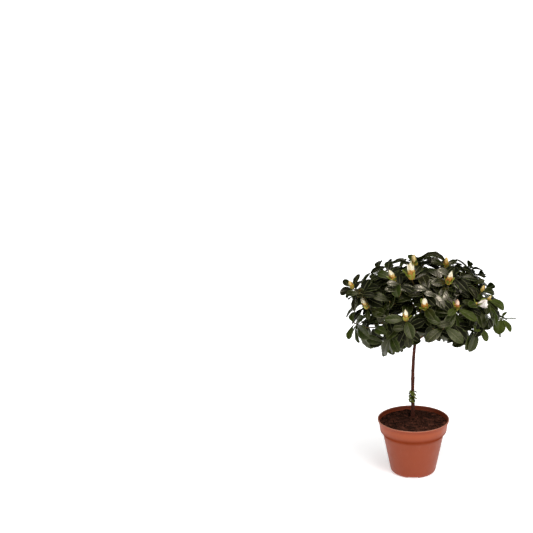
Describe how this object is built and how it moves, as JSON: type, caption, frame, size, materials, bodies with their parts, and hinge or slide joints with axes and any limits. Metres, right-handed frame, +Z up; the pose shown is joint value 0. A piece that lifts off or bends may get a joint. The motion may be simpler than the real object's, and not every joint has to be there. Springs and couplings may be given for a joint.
{
  "type": "potted azalea shrub",
  "caption": "Azalea grown as a small standard: bare stem, domed crown of dark leaves with white buds, tapered pot of soil.",
  "frame": {"origin": "centre of the pot's flat underside", "axes": "+Z up the pot's axis, -Y towards the side the picture shows, +X to the right in it"},
  "size_m": [0.2791, 0.2429, 0.3798],
  "materials": {
    "pot": "moulded terracotta-coloured plastic, satin",
    "soil": "moist peat compost, matt",
    "bark": "thin reddish-brown bark, matt",
    "foliage": "glossy dark green leaves"
  },
  "bodies": {
    "root": {"pot": "pot", "soil": "soil", "stem": "bark", "bough_upper_1": "bark", "bough_upper_2": "bark", "bough_upper_3": "bark", "bough_upper_4": "bark", "bough_lower_1": "bark", "bough_lower_2": "bark", "bough_lower_3": "bark", "bough_lower_4": "bark", "bough_lower_5": "bark", "bough_lower_6": "bark", "bough_lower_7": "bark", "foliage_top": "foliage", "foliage_upper_1": "foliage", "foliage_upper_2": "foliage", "foliage_upper_3": "foliage", "foliage_upper_4": "foliage", "foliage_lower_1": "foliage", "foliage_lower_2": "foliage", "foliage_lower_3": "foliage", "foliage_lower_4": "foliage", "foliage_lower_5": "foliage", "foliage_lower_6": "foliage", "foliage_lower_7": "foliage", "foliage_tuft": "foliage"}
  },
  "joints": []
}
